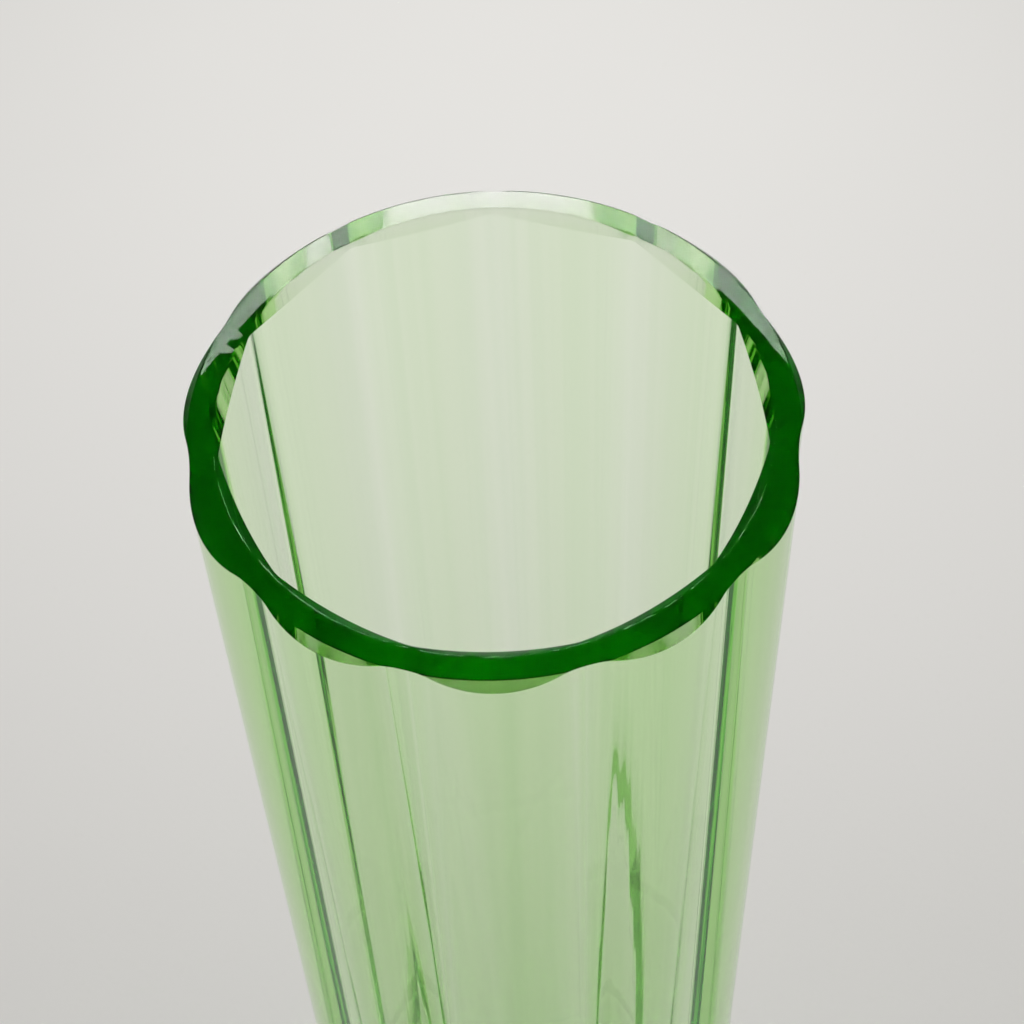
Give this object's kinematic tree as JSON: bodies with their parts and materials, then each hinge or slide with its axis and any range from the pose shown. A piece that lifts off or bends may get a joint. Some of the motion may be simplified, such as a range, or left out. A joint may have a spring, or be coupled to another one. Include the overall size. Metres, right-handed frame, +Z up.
{
  "type": "bud vase",
  "caption": "Tall thick-walled green glass bud vase, lobed outside and faceted inside, with a ground rim bevelled on both sides and a solid glass foot.",
  "frame": {"origin": "centre of the flat foot, on the surface that the vase stands on", "axes": "+Z up along the axis of the vase, and one lobe faces -Y"},
  "size_m": [0.0596, 0.0594, 0.23],
  "materials": {
    "green_glass": "polished"
  },
  "bodies": {
    "root": {"glass_vase": "green_glass"}
  },
  "joints": []
}
